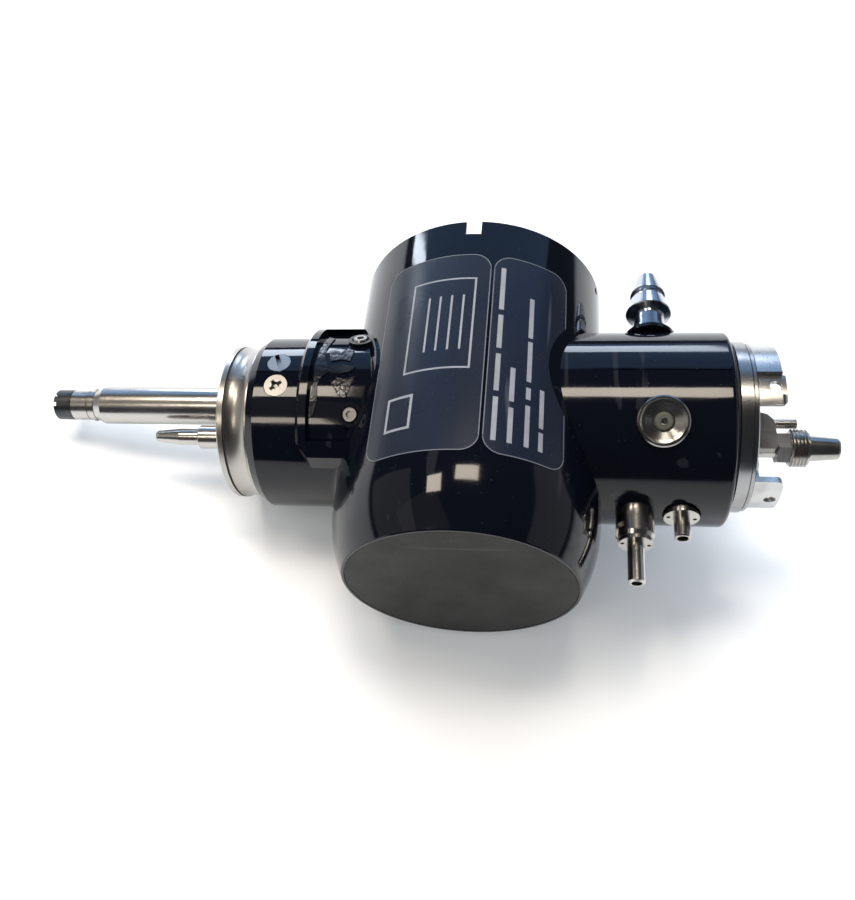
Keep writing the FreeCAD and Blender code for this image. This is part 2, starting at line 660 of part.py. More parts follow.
def bulkhead():
    start = BULKHEAD_FACE - BULKHEAD_THICKNESS
    plate = rod(LUG_INNER_R - GAP, start, BULKHEAD_FACE)
    slot = box((50, 70), (-6.2, 3.9), (-PLATE - 0.05, PLATE + 0.05))
    holes = [rod(radius, 50, 70, at=at) for radius, at in
             [(2.25, UNION_AT), (3.3, (-2, 8.5)), (2.35, (-5, -9)), (2.2, (-11, -6.4)), (2.2, (-11, 5.3)),
              (2.9, (3.9, -11.6)), (STUD_SCREW_R + GAP, STUD_AT), (1.02, TERMINAL_AT)]]
    return cut(plate, slot, *holes)


STUD_AT = (2.6, -2.3)
TERMINAL_AT = (-9.9, -0.2)
STUD_SCREW_R = 1.15


def stud_screw():
    stud = rod(STUD_SCREW_R, 57.6, 73.1, at=STUD_AT)
    grooves = [tube(1.3, STUD_SCREW_R - 0.18, 66.0 + 0.4 * i, 66.2 + 0.4 * i, at=STUD_AT) for i in range(17)]
    return cut(stud, *grooves)


def earth_terminal():
    washer = rod(2.3, BULKHEAD_FACE, 60.3, at=TERMINAL_AT)
    head = joined(rod(1.9, 60.3, 62.85, at=TERMINAL_AT), cone(1.9, 1.55, 62.85, 63.2, at=TERMINAL_AT))
    screw = joined(rod(1.0, 57.6, BULKHEAD_FACE, at=TERMINAL_AT), washer, head)
    y, z = TERMINAL_AT
    return cut(screw, box((62.3, 64), (y - 3, y + 3), (z - 0.35, z + 0.35)))


# ---------------------------------------------------------------- cord end
def ring_seal():
    return tube(18.9, LUG_OUTER_R + 0.05, CORD_SHELL_END, RING_START)


def end_ring():
    bore = LUG_OUTER_R + WALL_GAP
    return turned([(RING_START, bore), (RING_START, RING_R - 0.2), (RING_START + 0.2, RING_R),
                   (59.7, RING_R), (59.75, RING_R - 0.5), (59.95, RING_R - 0.5), (60.1, RING_R - 0.3),
                   (RING_END - 0.25, RING_R - 0.3), (RING_END, RING_R - 0.6), (RING_END, bore)])


def lug_frame():
    sleeve = tube(LUG_OUTER_R, LUG_INNER_R, LUG_SLEEVE_START, RING_END)
    pieces = []
    for first, last in LUG_SPANS:
        lug = tube(LUG_OUTER_R, LUG_INNER_R, RING_END, LUG_END)
        lug = lug.common(wedge(first, last, RING_END, LUG_END))
        corners = [e for e in lug.Edges if is_free_corner(e, LUG_END)]
        pieces.append(lug.makeFillet(1.3, corners))
    step = tube(LUG_OUTER_R + 2, LUG_STEP_R, RING_END, LUG_END + 1)
    holes = [step.common(wedge(*LUG_STEP, RING_END, LUG_END + 1))]
    for angle, x in LUG_HOLES:
        holes.append(around_x(rod(LUG_HOLE_R, 15, 20, "Z", at=(x, 0)), angle))
    return cut(joined(sleeve, *pieces), *holes)


def lug_pad():
    """The raised plate beside the upper lug's sunk middle."""
    pad = tube(LUG_PAD_R, LUG_INNER_R, RING_END, PAD_END).common(wedge(*PAD_SPAN, RING_END, PAD_END))
    pad = pad.makeFillet(1.0, [e for e in pad.Edges if is_free_corner(e, PAD_END)])
    rims = [e for e in pad.Edges if e.Length > 10 and on_pad_rim(e)]
    return pad.makeChamfer(0.25, rims)


def on_pad_rim(edge):
    """True for the pad's long outer edge at its free end."""
    middle = edge.valueAt((edge.FirstParameter + edge.LastParameter) / 2)
    return abs(middle.x - PAD_END) < 0.01 and math.hypot(middle.y, middle.z) > LUG_OUTER_R


def is_free_corner(edge, end):
    """True for the short radial edges at a lug's free corners, away from where the pad meets its lug."""
    if not 1.5 < edge.Length < 2.5 or any(abs(v.X - end) > 0.01 for v in edge.Vertexes):
        return False
    middle = edge.CenterOfMass
    return abs(math.degrees(math.atan2(middle.y, middle.z)) - PAD_SPAN[0]) > 1


def union_body():
    shank = joined(rod(2.2, 56.1, NUT_START, at=UNION_AT), rod(1.45, 53.5, 56.1, at=UNION_AT))
    nut = hexagon(6.5, NUT_START, THREAD_START, at=UNION_AT)
    nut = nut.common(cone(3.4, 12.4, NUT_START, NUT_START + 9, at=UNION_AT))
    profile = [(THREAD_START, 0), (THREAD_START, THREAD_ROOT)]
    for i in range(5):
        start = THREAD_START + 0.1 + THREAD_PITCH * i
        profile += [(start, THREAD_ROOT), (start + 0.3, THREAD_CREST), (start + 0.42, THREAD_CREST),
                    (start + 0.7, THREAD_ROOT)]
    profile += [(THREAD_END, THREAD_ROOT), (THREAD_END, 0)]
    thread = turned(profile, at=UNION_AT)
    union = joined(shank, nut, thread)
    return cut(union, rod(0.9, 53, 80, at=UNION_AT), rod(1.4, 57, 80, at=UNION_AT),
               rod(2.5, TUBE_SEAT, 80, at=UNION_AT))


NUT_START = 68.1
THREAD_START = 70.9
THREAD_END = 74.9
THREAD_CREST = 4.3
THREAD_ROOT = 3.85
THREAD_PITCH = 0.75
TUBE_SEAT = 72.1


def union_tube():
    profile = [(TUBE_SEAT + 0.05, 1.4), (TUBE_SEAT + 0.05, 2.48), (THREAD_END, 2.48), (THREAD_END, 2.95),
               (UNION_TUBE_END - 0.4, 2.42), (UNION_TUBE_END, 2.15), (UNION_TUBE_END, 1.4)]
    return turned(profile, at=UNION_AT)


# ---------------------------------------------------------------- fittings
def nipple_seat():
    profile = [(14.0, 2.62), (14.0, 3.58), (17.2, 3.58), (17.2, 5.75), (18.1, 5.75), (19.5, 4.2),
               (19.5, 2.62)]
    return turned(profile, "Y", at=(NIPPLE_X, NIPPLE_Z))


def suction_nipple():
    profile = [(13.5, 1.3), (13.5, 0.9), (11.0, 0.9), (11.0, 1.45), (12.9, 1.45), (12.9, 2.55),
               (19.5, 2.55), (19.5, 4.1), (20.1, 4.1), (20.4, 3.6), (24.2, 3.6),
               (24.9, 5.1), (25.2, 5.25), (29.3, 3.95), (29.5, 3.5), (30.4, 3.5), (30.6, 4.05), (30.9, 4.1),
               (36.3, 2.35), (36.9, 1.9), (36.9, 1.3)]
    return turned(profile, "Y", at=(NIPPLE_X, NIPPLE_Z))


def water_sleeve():
    profile = [(-16, 2.9), (-16, WATER_SLEEVE_R), (-28.6, WATER_SLEEVE_R), (-29.4, WATER_SLEEVE_R - 0.45),
               (-29.4, 3.65), (-27.6, 3.65), (-27.6, 2.9)]
    sleeve = turned(profile, "Y", at=(WATER_X, 0))
    run = box((WATER_X - 6, WATER_X - 3.4), (-30, -26.4), (0.4, 2.0))
    turn = box((WATER_X - 6, WATER_X - 2.6), (-27.6, -26.4), (0.4, 3.6))
    return cut(sleeve, run, turn)


def spanner_nut(x, radius, start, end, bore, hole_reach):
    nut = tube(radius, bore, start, end, "Y", at=(x, 0))
    holes = [rod(0.42, start, start + 0.9, "Y", at=(x + side * hole_reach, -side * 0.35))
             for side in (-1, 1)]
    return cut(nut, *holes)


def water_nut():
    return spanner_nut(WATER_X, 3.6, -30.3, -27.7, WATER_SEAT_R + GAP, 2.8)


def water_pipe():
    profile = [(-39.3, 1.1), (-39.3, 1.45), (-39.05, WATER_PIPE_R), (-30.25, WATER_PIPE_R),
               (-30.25, WATER_SEAT_R), (-27.6, WATER_SEAT_R), (-27.6, 2.85),
               (-16, 2.85), (-16, 1.15), (-13.6, 1.15), (-13.6, 0.7), (-18, 0.7), (-18, 1.1)]
    return turned(profile, "Y", at=(WATER_X, 0))


def air_nut():
    flange = spanner_nut(AIR_X, AIR_NUT_R, -23.7, -22.4, AIR_SEAT_R + GAP, 2.8)
    return joined(flange, tube(AIR_NUT_R, AIR_SEAT_R + GAP, -22.4, -21.65, "Y", at=(AIR_X, 0)))


def air_connector_pipe():
    profile = [(-28.6, 1.2), (-28.6, 1.5), (-28.4, AIR_PIPE_R), (-27.9, AIR_PIPE_R),
               (-27.8, AIR_PIPE_R - 0.15), (-27.6, AIR_PIPE_R), (-23.65, AIR_PIPE_R),
               (-23.65, AIR_SEAT_R), (-21.6, AIR_SEAT_R), (-21.6, 2.95), (-16, 2.95), (-16, 1.15),
               (-13.6, 1.15), (-13.6, 0.7), (-18, 0.7), (-18, 1.2)]
    return turned(profile, "Y", at=(AIR_X, 0))


def on_stud(shape):
    shape.translate(V(STUD_X, 0, 0))
    return around_x(shape, STUD_ANGLE)


def cord_stud_ring():
    profile = [(14, 1.9), (14, 3.95), (21.45, 3.95), (21.45, STUD_R), (22.5, STUD_R), (22.75, STUD_R - 0.3),
               (22.75, 4.85), (23.3, 4.75), (23.45, 4.5), (23.2, 3.9), (22.4, 2.3), (22.4, 1.9)]
    return on_stud(turned(profile, "Z"))


def cord_stud_insulator():
    return on_stud(turned([(13.5, 0.82), (13.5, 1.88), (22.55, 1.88), (22.75, 1.6), (22.75, 0.82)], "Z"))


def cord_stud_contact():
    return on_stud(turned([(11.5, 0), (11.5, 0.8), (22.9, 0.8), (23.05, 0.6), (23.05, 0.3), (22.3, 0.3),
                           (22.3, 0)], "Z"))


def cord_stud_nut():
    nut = hexagon(9.5, 14.2, 16.2, "Z")
    return on_stud(cut(nut, rod(3.95 + GAP, 14, 17, "Z")))


# ---------------------------------------------------------------- all pieces
OUTSIDE = housing_outside()

NODES = {
    "case_body": case_body(),
    "end_disc": end_disc(),
    "plug_collar": plug_collar(),
    "collar_o_ring": collar_o_ring(),
    "plug_screw_slotted": plug_screw(PLUG_SCREWS[0], "slot"),
    "plug_screw_cross": plug_screw(PLUG_SCREWS[1], "cross"),
    "plug_block": plug_block(),
    "light_guide_rod": light_guide_rod(),
    "nose_pins": nose_pins(),
    "tip_ring": tip_ring(),
    "cover_glass": cover_glass(),
    "air_pipe": air_pipe(),
    "saddle_bezel": saddle_bezel(),
    "bezel_screws": bezel_screws(),
    "sealant_residue": sealant_residue(),
    "left_label": label(-40.0, 9.2),
    "right_label": label(10.4, 46.0),
    "contact_block": contact_block(),
    "contact_pins": contact_pins(),
    "contact_board": contact_board(),
    "connector_shell": connector_shell(),
    "barrel_seal": barrel_seal(),
    "circuit_board": circuit_board(),
    "board_posts": board_posts(),
    "board_screws": board_screws(),
    "shield_can": shield_can(),
    "ribbon_cable": ribbon_cable(),
    "light_guide_bundle": light_guide_bundle(),
    "bundle_sheath": bundle_sheath(),
    "air_hose": routed(AIR_HOSE, 2.2, 1.62),
    "suction_tube": routed(SUCTION_TUBE, 2.2, 1.5),
    "water_tube": routed(WATER_TUBE, 1.9, 1.2),
    "air_tube": routed(AIR_TUBE, 1.9, 1.2),
    "signal_cable": signal_cable(),
    "chassis_plate": chassis_plate(),
    "chassis_screws": chassis_screws(),
    "bulkhead": bulkhead(),
    "stud_screw": stud_screw(),
    "earth_terminal": earth_terminal(),
    "ring_seal": ring_seal(),
    "end_ring": end_ring(),
    "lug_frame": lug_frame(),
    "lug_pad": lug_pad(),
    "union_body": union_body(),
    "union_tube": union_tube(),
    "nipple_seat": nipple_seat(),
    "suction_nipple": suction_nipple(),
    "water_sleeve": water_sleeve(),
    "water_nut": water_nut(),
    "water_pipe": water_pipe(),
    "air_nut": air_nut(),
    "air_connector_pipe": air_connector_pipe(),
    "cord_stud_ring": cord_stud_ring(),
    "cord_stud_insulator": cord_stud_insulator(),
    "cord_stud_contact": cord_stud_contact(),
    "cord_stud_nut": cord_stud_nut(),
}


# ---------------------------------------------------------------- lying on the table
touch_x = -(PLUG_SHELL_END + PLUG_CHAMFER)
LIE_ANGLE = math.asin(BARREL_R / math.hypot(touch_x, PLUG_SHELL_R)) - math.atan2(PLUG_SHELL_R, touch_x)


def laid_down(shape):
    placed = shape.copy()
    placed.rotate(V(0, 0, 0), V(0, 1, 0), -math.degrees(LIE_ANGLE))
    return placed


laid = {name: laid_down(shape) for name, shape in NODES.items()}
whole = Part.makeCompound(list(laid.values())).optimalBoundingBox(False, False)
SHIFT = V(-(whole.XMin + whole.XMax) / 2, -(whole.YMin + whole.YMax) / 2, BARREL_R)

os.makedirs("parts", exist_ok=True)
for name, shape in laid.items():
    shape.translate(SHIFT)
    shape.exportStep("parts/" + name + ".step")
    print(name, "solids", len(shape.Solids), "volume", round(shape.Volume, 1), "valid", shape.isValid())
print("lie angle", round(math.degrees(LIE_ANGLE), 3), "shift", [round(c, 3) for c in SHIFT], "box", whole)
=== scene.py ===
"""Looks for the endoscope's light guide connector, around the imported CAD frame."""

import math

import bpy
from mathutils import Matrix, Vector


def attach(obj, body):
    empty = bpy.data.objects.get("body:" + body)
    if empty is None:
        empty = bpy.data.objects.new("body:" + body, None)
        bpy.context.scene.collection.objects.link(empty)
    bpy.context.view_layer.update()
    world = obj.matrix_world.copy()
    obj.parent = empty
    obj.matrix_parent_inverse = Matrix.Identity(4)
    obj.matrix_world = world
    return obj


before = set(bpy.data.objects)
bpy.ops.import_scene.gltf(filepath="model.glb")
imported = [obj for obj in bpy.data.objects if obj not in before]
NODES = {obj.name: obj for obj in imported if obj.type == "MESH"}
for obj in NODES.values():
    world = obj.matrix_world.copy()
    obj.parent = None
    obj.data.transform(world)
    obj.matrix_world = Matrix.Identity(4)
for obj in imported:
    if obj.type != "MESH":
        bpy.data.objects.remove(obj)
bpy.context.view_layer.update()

# ---------------------------------------------------------------- the frame the part was designed in
MM = 0.001
BARREL_R = 29.3                         # the barrel lies on the table, so its axis is this high too
LABEL_THICKNESS = 0.12
LABEL_R = BARREL_R + LABEL_THICKNESS
LIE_ANGLE = math.radians(11.575)        # the plug axis dips this much towards the rod
BARREL_AXIS = Vector((11.722, 2.3, BARREL_R)) * MM


def laid(x, y, z):
    """A point of the upright design frame, in millimetres, as it lies on the table, in metres."""
    turned = Vector((x * math.cos(LIE_ANGLE) - z * math.sin(LIE_ANGLE), y,
                     x * math.sin(LIE_ANGLE) + z * math.cos(LIE_ANGLE)))
    return turned * MM + BARREL_AXIS


# ---------------------------------------------------------------- materials
class Look:
    """A procedural material: a Principled shader with small helpers for what feeds it."""

    def __init__(self, name, base, rough, metal=0.0):
        self.mat = bpy.data.materials.new(name)
        self.mat.use_nodes = True
        self.tree = self.mat.node_tree
        self.shader = self.tree.nodes["Principled BSDF"]
        self.set("Base Color", (*base, 1.0))
        self.set("Roughness", rough)
        self.set("Metallic", metal)
        self.height = None

    def set(self, socket, value):
        self.shader.inputs[socket].default_value = value

    def node(self, kind, **settings):
        made = self.tree.nodes.new("ShaderNode" + kind)
        for key, value in settings.items():
            setattr(made, key, value)
        return made

    def link(self, out, into):
        self.tree.links.new(out, into)

    def design_coords(self, stretch=(1, 1, 1)):
        """Object coordinates turned back to the plug axis, then stretched."""
        coord = self.node("TexCoord")
        centre = self.node("Mapping")
        centre.inputs["Location"].default_value = -BARREL_AXIS
        turn = self.node("Mapping")
        turn.inputs["Rotation"].default_value = (0, LIE_ANGLE, 0)
        scale = self.node("Mapping")
        scale.inputs["Scale"].default_value = stretch
        self.link(coord.outputs["Object"], centre.inputs["Vector"])
        self.link(centre.outputs["Vector"], turn.inputs["Vector"])
        self.link(turn.outputs["Vector"], scale.inputs["Vector"])
        return scale.outputs["Vector"]

    def noise(self, scale, detail=3.0, stretch=(1, 1, 1)):
        made = self.node("TexNoise")
        made.inputs["Scale"].default_value = scale
        made.inputs["Detail"].default_value = detail
        self.link(self.design_coords(stretch), made.inputs["Vector"])
        return made.outputs["Fac"]

    def ramp(self, value, low, high, out_low=0.0, out_high=1.0):
        made = self.node("MapRange", clamp=True)
        self.link(value, made.inputs["Value"])
        for key, number in (("From Min", low), ("From Max", high), ("To Min", out_low), ("To Max", out_high)):
            made.inputs[key].default_value = number
        return made.outputs["Result"]

    def math(self, how, a, b):
        made = self.node("Math", operation=how)
        for socket, value in zip(made.inputs, (a, b)):
            if isinstance(value, (int, float)):
                socket.default_value = value
            else:
                self.link(value, socket)
        return made.outputs[0]

    def specks(self, density, size):
        """1 on small scattered specks, 0 elsewhere."""
        made = self.node("TexVoronoi")
        made.inputs["Scale"].default_value = density
        self.link(self.design_coords(), made.inputs["Vector"])
        return self.ramp(made.outputs["Distance"], size * 0.6, size, 1.0, 0.0)

    def scratches(self, scale=260, stretch=(1, 0.04, 1), rarity=0.68):
        """Thin lines along the direction that stretch squeezes."""
        return self.ramp(self.noise(scale, 2.0, stretch), rarity, rarity + 0.03)

    def tint(self, mask, colour):
        """Blend towards a colour where the mask is high."""
        base = self.shader.inputs["Base Color"]
        mix = self.node("Mix", data_type="RGBA")
        self.link(mask, mix.inputs["Factor"])
        colours = [s for s in mix.inputs if s.type == "RGBA"]
        if base.is_linked:
            self.link(base.links[0].from_socket, colours[0])
        else:
            colours[0].default_value = base.default_value
        colours[1].default_value = (*colour, 1.0)
        result = [s for s in mix.outputs if s.type == "RGBA"][0]
        self.link(result, base)

    def rough(self, value):
        self.link(value, self.shader.inputs["Roughness"])

    def bump(self, value, depth):
        """Add a height in metres to the surface."""
        made = self.node("Bump")
        made.inputs["Strength"].default_value = 1.0
        made.inputs["Distance"].default_value = depth
        self.link(value, made.inputs["Height"])
        if self.height is not None:
            self.link(self.height, made.inputs["Normal"])
        self.height = made.outputs["Normal"]
        self.link(self.height, self.shader.inputs["Normal"])


def glossy_case():
    look = Look("case_black", (0.0022, 0.0030, 0.0065), 0.06)
    look.set("IOR", 1.42)
    wear = look.scratches()
    cross = look.scratches(320, (0.05, 1, 1), 0.70)
    marks = look.math("MAXIMUM", wear, cross)
    dust = look.specks(620, 0.055)
    look.tint(look.math("MULTIPLY", dust, 0.22), (0.20, 0.21, 0.24))
    look.tint(look.math("MULTIPLY", marks, 0.035), (0.30, 0.31, 0.34))
    haze = look.ramp(look.noise(38, 4.0), 0.35, 0.75, 0.045, 0.12)
    look.rough(look.math("ADD", haze, look.math("MULTIPLY", dust, 0.3)))
    look.bump(look.noise(150, 2.0), 0.000014)
    return look.mat


def foil():
    look = Look("label_foil", (0.006, 0.009, 0.019), 0.34)
    dust = look.specks(800, 0.06)
    look.tint(look.math("MULTIPLY", dust, 0.3), (0.35, 0.36, 0.40))
    scuffs = look.scratches(240, (1, 0.06, 1), 0.69)
    look.tint(look.math("MULTIPLY", scuffs, 0.10), (0.40, 0.42, 0.47))
    look.rough(look.ramp(look.noise(45, 4.0), 0.3, 0.75, 0.26, 0.38))
    look.bump(look.noise(900, 2.0), 0.000005)
    return look.mat


def disc_paint():
    look = Look("disc_paint", (0.0100, 0.0104, 0.0092), 0.52)
    look.set("Specular IOR Level", 0.28)
    look.tint(look.ramp(look.noise(60, 5.0), 0.45, 0.8, 0.0, 0.35), (0.022, 0.022, 0.019))
    look.tint(look.math("MULTIPLY", look.scratches(180, (0.05, 1, 1), 0.70), 0.2), (0.20, 0.20, 0.19))
    look.tint(look.math("MULTIPLY", look.specks(700, 0.07), 0.4), (0.30, 0.30, 0.29))
    look.rough(look.ramp(look.noise(90, 3.0), 0.3, 0.8, 0.44, 0.62))
    look.bump(look.noise(2600, 2.0), 0.000010)
    return look.mat


GRAINS = {"x": (1, 0.02, 0.02), "y": (0.02, 1, 0.02), "z": (0.02, 0.02, 1), "along": (0.015, 1, 1)}


def metal(name, base, low, high, lines=0.0, axis="x", dirt=0.25, dirt_colour=(0.10, 0.085, 0.065)):
    """Steel with handling marks.

    low and high bound its roughness, lines is the depth of its tool marks in metres, axis is the way
    they run, and dirt is how much grime it carries.
    """
    look = Look(name, base, low, 1.0)
    grime = look.ramp(look.noise(130, 5.0), 0.52, 0.80, 0.0, dirt)
    look.tint(grime, dirt_colour)
    grain = look.noise(3500, 2.0, GRAINS[axis])
    blotch = look.ramp(look.noise(60, 3.0), 0.3, 0.75, low, high)
    look.rough(look.math("ADD", blotch, look.math("MULTIPLY", grain, (high - low) * 0.5)))
    if lines:
        look.bump(grain, lines)
    look.tint(look.math("MULTIPLY", look.scratches(420, (0.05, 1, 1), 0.70), 0.3), (0.14, 0.13, 0.12))
    return look.mat


def plain(name, base, low, high, metal_share=0.0, grain=1200, depth=0.00001):
    """Paint, rubber or plastic; low and high bound its roughness, depth is its grain's height in metres."""
    look = Look(name, base, low, metal_share)
    shade = tuple(min(1.0, c * 0.6) for c in base)
    look.tint(look.ramp(look.noise(180, 4.0), 0.4, 0.75, 0.0, 0.5), shade)
    look.rough(look.ramp(look.noise(140, 3.0), 0.3, 0.75, low, high))
    look.bump(look.noise(grain, 2.0), depth)
    return look.mat


def window_glass():
    look = Look("cover_window", (0.85, 0.92, 0.95), 0.05)
    look.set("Transmission Weight", 0.85)
    look.set("IOR", 1.5)
    look.rough(look.ramp(look.noise(900, 3.0), 0.4, 0.8, 0.03, 0.2))
    return look.mat


def circuit():
    look = Look("circuit_board", (0.03, 0.15, 0.07), 0.35)
    tracks = look.ramp(look.noise(1400, 1.0, (1, 0.1, 1)), 0.52, 0.55)
    look.tint(look.math("MULTIPLY", tracks, 0.5), (0.08, 0.30, 0.14))
    look.rough(look.ramp(look.noise(300), 0.3, 0.7, 0.3, 0.5))
    look.bump(tracks, 0.00003)
    return look.mat


LOOKS = {
    "case": glossy_case(),
    "foil": foil(),
    "disc": disc_paint(),
    "rod": metal("rod_steel", (0.50, 0.485, 0.455), 0.17, 0.25, 0.0000012, "along", 0.10),
    "collar": metal("collar_satin", (0.44, 0.425, 0.395), 0.24, 0.36, 0.0000012, "x", 0.35),
    "sooty": metal("tip_sooty", (0.085, 0.088, 0.095), 0.26, 0.42, 0.000003, "x", 0.8, (0.02, 0.02, 0.022)),
    "bright": metal("bright_steel", (0.40, 0.39, 0.375), 0.22, 0.36, 0.0, "y", 0.3),
    "fitting": metal("chrome_fitting", (0.56, 0.55, 0.53), 0.13, 0.22, 0.000001, "y", 0.4),
    "nipple": metal("nipple_steel", (0.50, 0.53, 0.57), 0.14, 0.24, 0.000001, "y", 0.2),
    "ring": metal("ring_satin", (0.36, 0.36, 0.36), 0.16, 0.26, 0.000002, "x", 0.45),
    "frame": metal("frame_steel", (0.58, 0.58, 0.575), 0.17, 0.28, 0.000001, "x", 0.5),
    "union": metal("union_steel", (0.50, 0.49, 0.465), 0.17, 0.28, 0.000001, "x", 0.55),
    "plate": metal("plate_satin", (0.29, 0.28, 0.26), 0.22, 0.34, 0.000002, "x", 0.5),
    "stud": metal("stud_satin", (0.34, 0.335, 0.315), 0.17, 0.27, 0.000002, "z", 0.5),
    "brass": metal("contact_gold", (0.72, 0.50, 0.20), 0.15, 0.3, 0.0, "x", 0.35),
    "rubber": plain("seal_rubber", (0.012, 0.012, 0.013), 0.5, 0.7, 0.0, 2200, 0.00002),
    "seat": plain("seat_gloss", (0.003, 0.004, 0.006), 0.05, 0.12, 0.0, 900, 0.000004),
    "groove": plain("groove_dark", (0.05, 0.048, 0.045), 0.3, 0.5, 0.4, 2200, 0.00001),
    "sealant": plain("sealant_black", (0.006, 0.007, 0.010), 0.12, 0.34, 0.0, 620, 0.00022),
    "print": plain("label_print", (0.26, 0.27, 0.29), 0.45, 0.6, 0.0, 2500, 0.000004),
    "edge": plain("label_edge", (0.13, 0.14, 0.16), 0.35, 0.5, 0.0, 2500, 0.000004),
    "ivory": plain("insulator", (0.10, 0.10, 0.075), 0.30, 0.5),
    "hose": plain("hose", (0.50, 0.47, 0.41), 0.4, 0.6),
    "fibre": plain("fibre", (0.66, 0.62, 0.54), 0.3, 0.5, 0.0, 3000, 0.00003),
    "cable": plain("cable_jacket", (0.02, 0.02, 0.022), 0.45, 0.6),
    "glass": window_glass(),
    "board": circuit(),
}

NODE_LOOKS = {
    "case": ["case_body", "saddle_bezel"],
    "foil": ["left_label", "right_label"],
    "disc": ["end_disc"],
    "rod": ["light_guide_rod", "air_pipe", "nose_pins"],
    "collar": ["plug_collar"],
    "sooty": ["tip_ring"],
    "bright": ["plug_screw_slotted", "plug_screw_cross", "bezel_screws", "board_screws", "chassis_screws",
               "earth_terminal"],
    "fitting": ["water_sleeve", "water_nut", "water_pipe", "air_nut", "air_connector_pipe"],
    "nipple": ["suction_nipple"],
    "ring": ["end_ring"],
    "frame": ["lug_frame", "lug_pad", "bulkhead", "shield_can", "board_posts", "connector_shell"],
    "union": ["union_body", "union_tube", "stud_screw"],
    "plate": ["chassis_plate"],
    "stud": ["cord_stud_ring", "cord_stud_contact", "cord_stud_nut"],
    "brass": ["contact_pins"],
    "rubber": ["barrel_seal", "ring_seal"],
    "seat": ["nipple_seat"],
    "groove": ["collar_o_ring"],
    "sealant": ["sealant_residue"],
    "ivory": ["plug_block", "contact_block", "cord_stud_insulator"],
    "hose": ["bundle_sheath", "air_hose", "suction_tube", "water_tube", "air_tube"],
    "fibre": ["light_guide_bundle"],
    "cable": ["signal_cable", "ribbon_cable"],
    "glass": ["cover_glass"],
    "board": ["circuit_board", "contact_board"],
}

for look, names in NODE_LOOKS.items():
    for name in names:
        mesh = NODES[name].data
        mesh.materials.clear()
        mesh.materials.append(LOOKS[look])


# ---------------------------------------------------------------- plain marks on the labels
# lengths in millimetres, angles in degrees from the barrel's top towards the cord
MARK_LIFT = 0.03                        # how far a mark floats above the foil
BAR_STEP = 1.5                          # the bend of a bar is cut into steps of this angle
EDGE_LINE = 0.22                        # width of the line round a label
SIDE_WALL_LEAN = 0.3                    # a side wall's normal has less than this along the radius
RIM_TOLERANCE = 0.04
SHORTEST_EDGE = 0.02


def on_label(angle, y):
    """A point just above the labels."""
    radius = LABEL_R + MARK_LIFT
    return laid(radius * math.sin(math.radians(angle)), y, radius * math.cos(math.radians(angle)))


def mark_piece(name, verts, faces, look):
    """A new piece of the case's labels, which rides with the case."""
    mesh = bpy.data.meshes.new(name)
    mesh.from_pydata(verts, [], faces)
    mesh.materials.append(LOOKS[look])
    piece = bpy.data.objects.new(name, mesh)
    bpy.context.scene.collection.objects.link(piece)
    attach(piece, "connector")


def bars(name, patches):
    """Printed bars; each patch is (first angle, last angle, first y, last y)."""
    verts = []
    faces = []
    for first, last, low, high in patches:
        steps = max(1, math.ceil((last - first) / BAR_STEP))
        start = len(verts)
        for i in range(steps + 1):
            angle = first + (last - first) * i / steps
            verts += [on_label(angle, low), on_label(angle, high)]
        faces += [(start + 2 * i, start + 2 * i + 2, start + 2 * i + 3, start + 2 * i + 1)
                  for i in range(steps)]
    mark_piece(name, verts, faces, "print")


def outline(first, last, low, high, line):
    """The four sides of a rectangle, line millimetres wide."""
    turn = math.degrees(line / LABEL_R)
    return [(first, last, low, low + line), (first, last, high - line, high),
            (first, first + turn, low + line, high - line), (last - turn, last, low + line, high - line)]


def from_axis(point):
    """Distance of a point from the barrel's axis, in metres."""
    return math.hypot(point.x - BARREL_AXIS.x, point.z - BARREL_AXIS.z)


def label_edge(node):
    """A thin line round a label, laid along the outer edges of its side walls."""
    mesh = NODES[node].data
    verts = []
    faces = []
    for face in mesh.polygons:
        middle = face.center - BARREL_AXIS
        radial = Vector((middle.x, 0.0, middle.z)).normalized()
        if abs(face.normal.dot(radial)) > SIDE_WALL_LEAN:
            continue
        outer = [mesh.vertices[v].co for v in face.vertices
                 if from_axis(mesh.vertices[v].co) > (LABEL_R - RIM_TOLERANCE) * MM]
        if len(outer) != 2 or (outer[0] - outer[1]).length < SHORTEST_EDGE * MM:
            continue
        lift = radial * MARK_LIFT * MM
        inwards = -face.normal * EDGE_LINE * MM
        start = len(verts)
        verts += [outer[0] + lift, outer[1] + lift, outer[1] + inwards + lift, outer[0] + inwards + lift]
        faces.append((start, start + 1, start + 2, start + 3))
    mark_piece(node + "_edge", verts, faces, "edge")


# right label: where each line of bars lies, and where its bars begin and end along Y
BAR_LINES = {14.6: [(-23, -12.5), (-11, -1.5), (0, 9), (10.5, 22.5)],
             21.0: [(-23, -14.5), (-13, -4.5)],
             28.0: [(-23, -13), (-11.5, -8.5), (-7, 3.5), (4.5, 15.5)],
             34.2: [(-23, -18.5), (-17.5, -8)]}
BAR_HALF = 1.05
# left label: two outlined boxes, and strokes inside the larger one
LARGE_BOX = (-25, 3.5, -6, 19)
SMALL_BOX = (-31, -19, -20, -11.5)
LARGE_BOX_LINE = 0.45
SMALL_BOX_LINE = 0.6
STROKES = (-17, -12, -7, -2)
STROKE_TURN = 0.9
STROKE_SPAN = (-1, 14)

bars("right_label_bars", [(angle - BAR_HALF, angle + BAR_HALF, low, high)
                          for angle, spans in BAR_LINES.items() for low, high in spans])
bars("left_label_bars", outline(*LARGE_BOX, LARGE_BOX_LINE) + outline(*SMALL_BOX, SMALL_BOX_LINE)
     + [(angle, angle + STROKE_TURN, *STROKE_SPAN) for angle in STROKES])
for label in ("left_label", "right_label"):
    label_edge(label)


